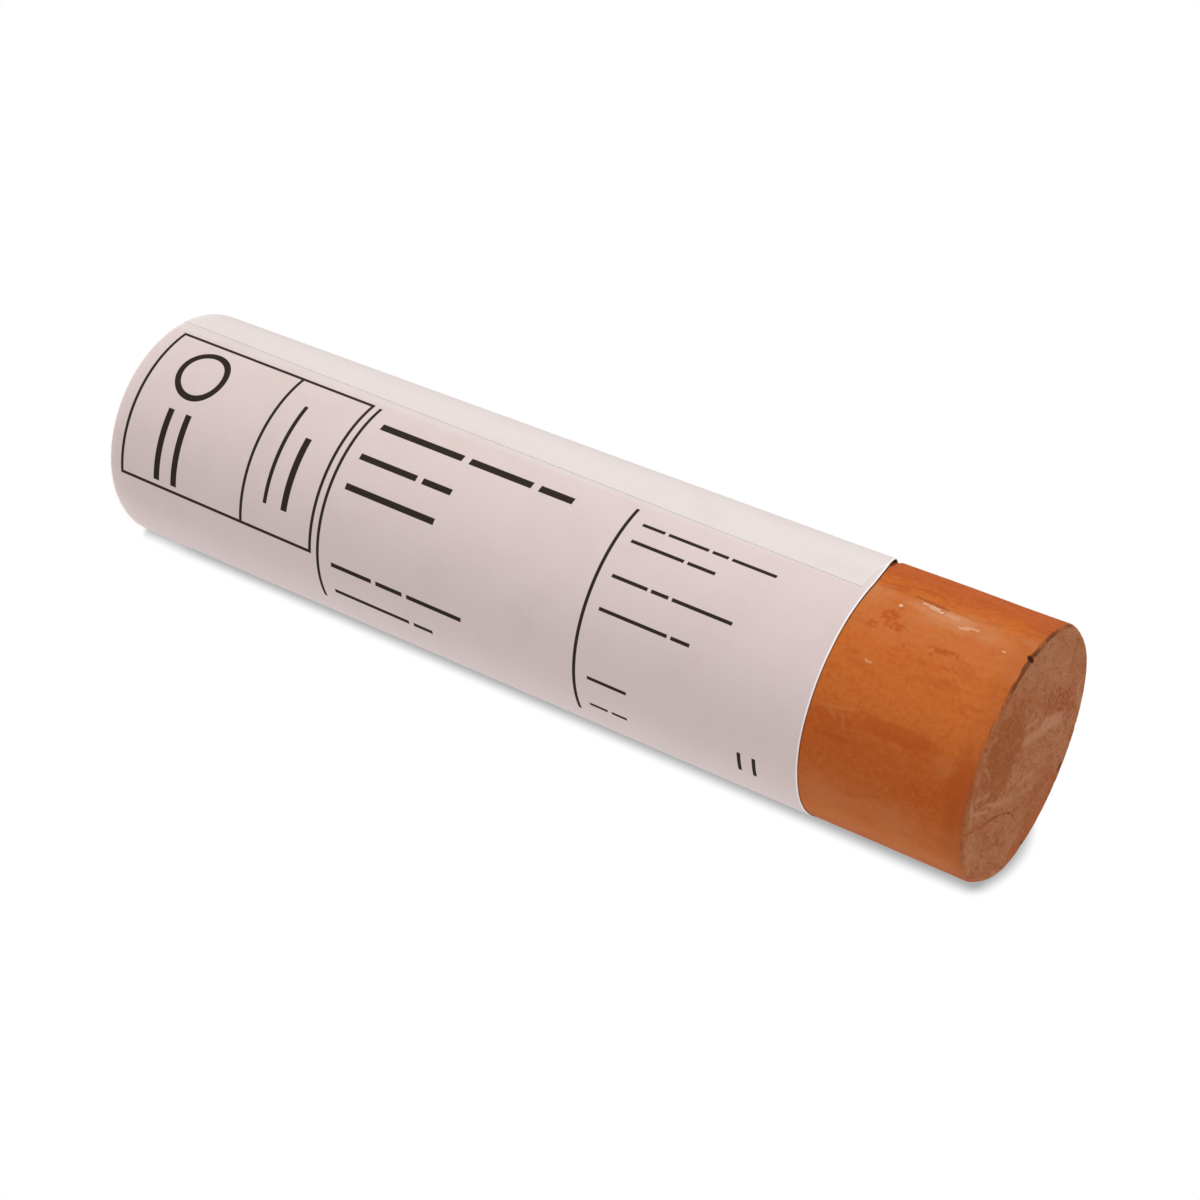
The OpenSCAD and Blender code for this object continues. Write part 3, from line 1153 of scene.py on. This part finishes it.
def glow_of(tree, level):
    """A plain white glow of that level."""
    return put(tree, "ShaderNodeEmission", {"Color": (1, 1, 1, 1), "Strength": level}).outputs[0]


def mixed(tree, share, under, over):
    """Mixes two shaders."""
    return put(tree, "ShaderNodeMixShader", {0: share, 1: under, 2: over}).outputs[0]


def floor_white(distance_to_line):
    """White floor that keeps the real shadow close to the stick, glows evenly further off, and has a
    painted shade in the corner by the backdrop.
    """
    material, tree, place, level = stage_tree("floor_white")
    line = {"Place": place, "From": (0, 0, 0), "To": around(KEY_ANGLE - 180, 4, 0)}
    near = soft_step(tree, grouped(tree, distance_to_line, line)["Distance"], 17.2, 15.7)
    card = put(tree, "ShaderNodeBsdfDiffuse", {"Color": (1, 1, 1, 1)}).outputs[0]
    lit = put(tree, "ShaderNodeAddShader", {0: card, 1: glow_of(tree, CARD_GLOW)}).outputs[0]
    shaded = mixed(tree, near, glow_of(tree, level), lit)
    # Painted shade in the corner between the stick and the backdrop.
    start = around(CORNER_ANGLE - 2, SHEET_OUT_R, 0)
    half_turn = math.radians(CORNER_ANGLE - CONTACT_ANGLE) / 2
    end = around(CORNER_ANGLE - math.degrees(half_turn), SHEET_OUT_R / math.cos(half_turn), 0)
    corner = grouped(tree, distance_to_line, {"Place": place, "From": start, "To": end})["Distance"]
    dim = ranged(tree, soft_step(tree, corner, 1.7, -0.9), 1.0, 0.30)
    corner_shade_glow = glow_of(tree, times(tree, level, dim))
    reach = vectors(tree, "DOT_PRODUCT", place, around(CONTACT_ANGLE, 1, 0), result=1)
    before_wall = soft_step(tree, reach, SHEET_OUT_R + 0.15, SHEET_OUT_R + 0.05)
    in_corner = times(tree, soft_step(tree, corner, 1.75, 1.65), before_wall)
    put(tree, "ShaderNodeOutputMaterial", {"Surface": mixed(tree, in_corner, shaded, corner_shade_glow)})
    return material


def backdrop_white(distance_to_line, foot):
    """White backdrop that the stick touches, with a soft grey painted shadow along it. Clear from
    behind.
    """
    material, tree, place, level = stage_tree("backdrop_white")
    line = {"Place": place, "From": foot, "To": foot + Vector((0, 0, 2 * STICK_LEN))}
    aside = grouped(tree, distance_to_line, line)["Distance"]
    beside = soft_step(tree, aside, 9.0, 6.2)
    height = put(tree, "ShaderNodeSeparateXYZ", {0: place}).outputs["Z"]
    rounded = sums(tree, "ADD", height, times(tree, aside, aside, 0.03))
    along = times(
        tree,
        soft_step(tree, rounded, STICK_LEN + 1.8, STICK_LEN - 0.6),
        soft_step(tree, height, -14.0, 6.0),
    )
    # The shadow is painted: a grey glow that fades with distance from the contact line.
    shade = ranged(tree, times(tree, beside, along), 1.0, 0.41)
    front = glow_of(tree, times(tree, level, shade))
    behind = put(tree, "ShaderNodeNewGeometry").outputs["Backfacing"]
    gone = put(tree, "ShaderNodeBsdfTransparent").outputs[0]
    put(tree, "ShaderNodeOutputMaterial", {"Surface": mixed(tree, behind, front, gone)})
    return material


def stage_plane(name, place, material):
    """A wide square of the stage. Its mesh lies in place, and its object is at the origin."""
    shape = bmesh.new()
    bmesh.ops.create_grid(shape, x_segments=1, y_segments=1, size=STAGE_HALF, matrix=place)
    plane = finished(name, shape, material)
    return plane


def lamp(name, angle, height, size, level):
    """A square soft lamp that looks at the stick and lights a card facing it to that level."""
    data = bpy.data.lights.new(name, "AREA")
    data.shape = "SQUARE"
    data.size = size
    data.energy = level * math.pi ** 2 * LAMP_DISTANCE ** 2
    light = bpy.data.objects.new(name, data)
    bpy.context.scene.collection.objects.link(light)
    middle = Vector((0, 0, STICK_LEN * MM / 2))
    rise = math.radians(height)
    light.location = middle + LAMP_DISTANCE * around(angle, math.cos(rise), math.sin(rise))
    light.rotation_mode = "QUATERNION"
    light.rotation_quaternion = (middle - light.location).to_track_quat("-Z", "Y")


def plain_world():
    """An even white room."""
    world = bpy.data.worlds.new("studio")
    bpy.context.scene.world = world
    world.use_nodes = True
    tree = world.node_tree
    sky = tree.nodes["Background"]
    sky.inputs["Color"].default_value = (1, 1, 1, 1)
    tree.links.new(white_level(tree), sky.inputs["Strength"])


def build_stage(distance_to_line):
    """The floor, the backdrop that only the camera sees, the room and the two lamps."""
    stage_plane("floor", Matrix.Identity(4), floor_white(distance_to_line))
    foot = around(CONTACT_ANGLE, SHEET_OUT_R + WALL_GAP, 0)
    facing = Matrix.Rotation(math.radians(-WALL_ANGLE), 4, "Z")
    upright = Matrix.Rotation(math.radians(90), 4, "X")
    place = Matrix.Translation(foot) @ facing @ upright
    wall = stage_plane("backdrop", place, backdrop_white(distance_to_line, foot))
    wall.visible_diffuse = False
    wall.visible_glossy = False
    wall.visible_transmission = False
    wall.visible_shadow = False
    plain_world()
    lamp("key", KEY_ANGLE, KEY_HEIGHT, KEY_SIZE, KEY_LEVEL)
    lamp("bounce", CONTACT_ANGLE, 0, BOUNCE_SIZE, BOUNCE_LEVEL)


def main():
    bpy.context.scene.view_settings.view_transform = "Standard"
    photo_camera()
    place_on_stick = place_group()
    soft_patch = patch_group()
    distance_to_line = line_group()
    printed_bar = bar_group()
    paint_stick_piece(oil_paint(place_on_stick, soft_patch, distance_to_line))
    paper_label_piece(label_paper(place_on_stick, printed_bar), cut_paper())
    build_stage(distance_to_line)


main()
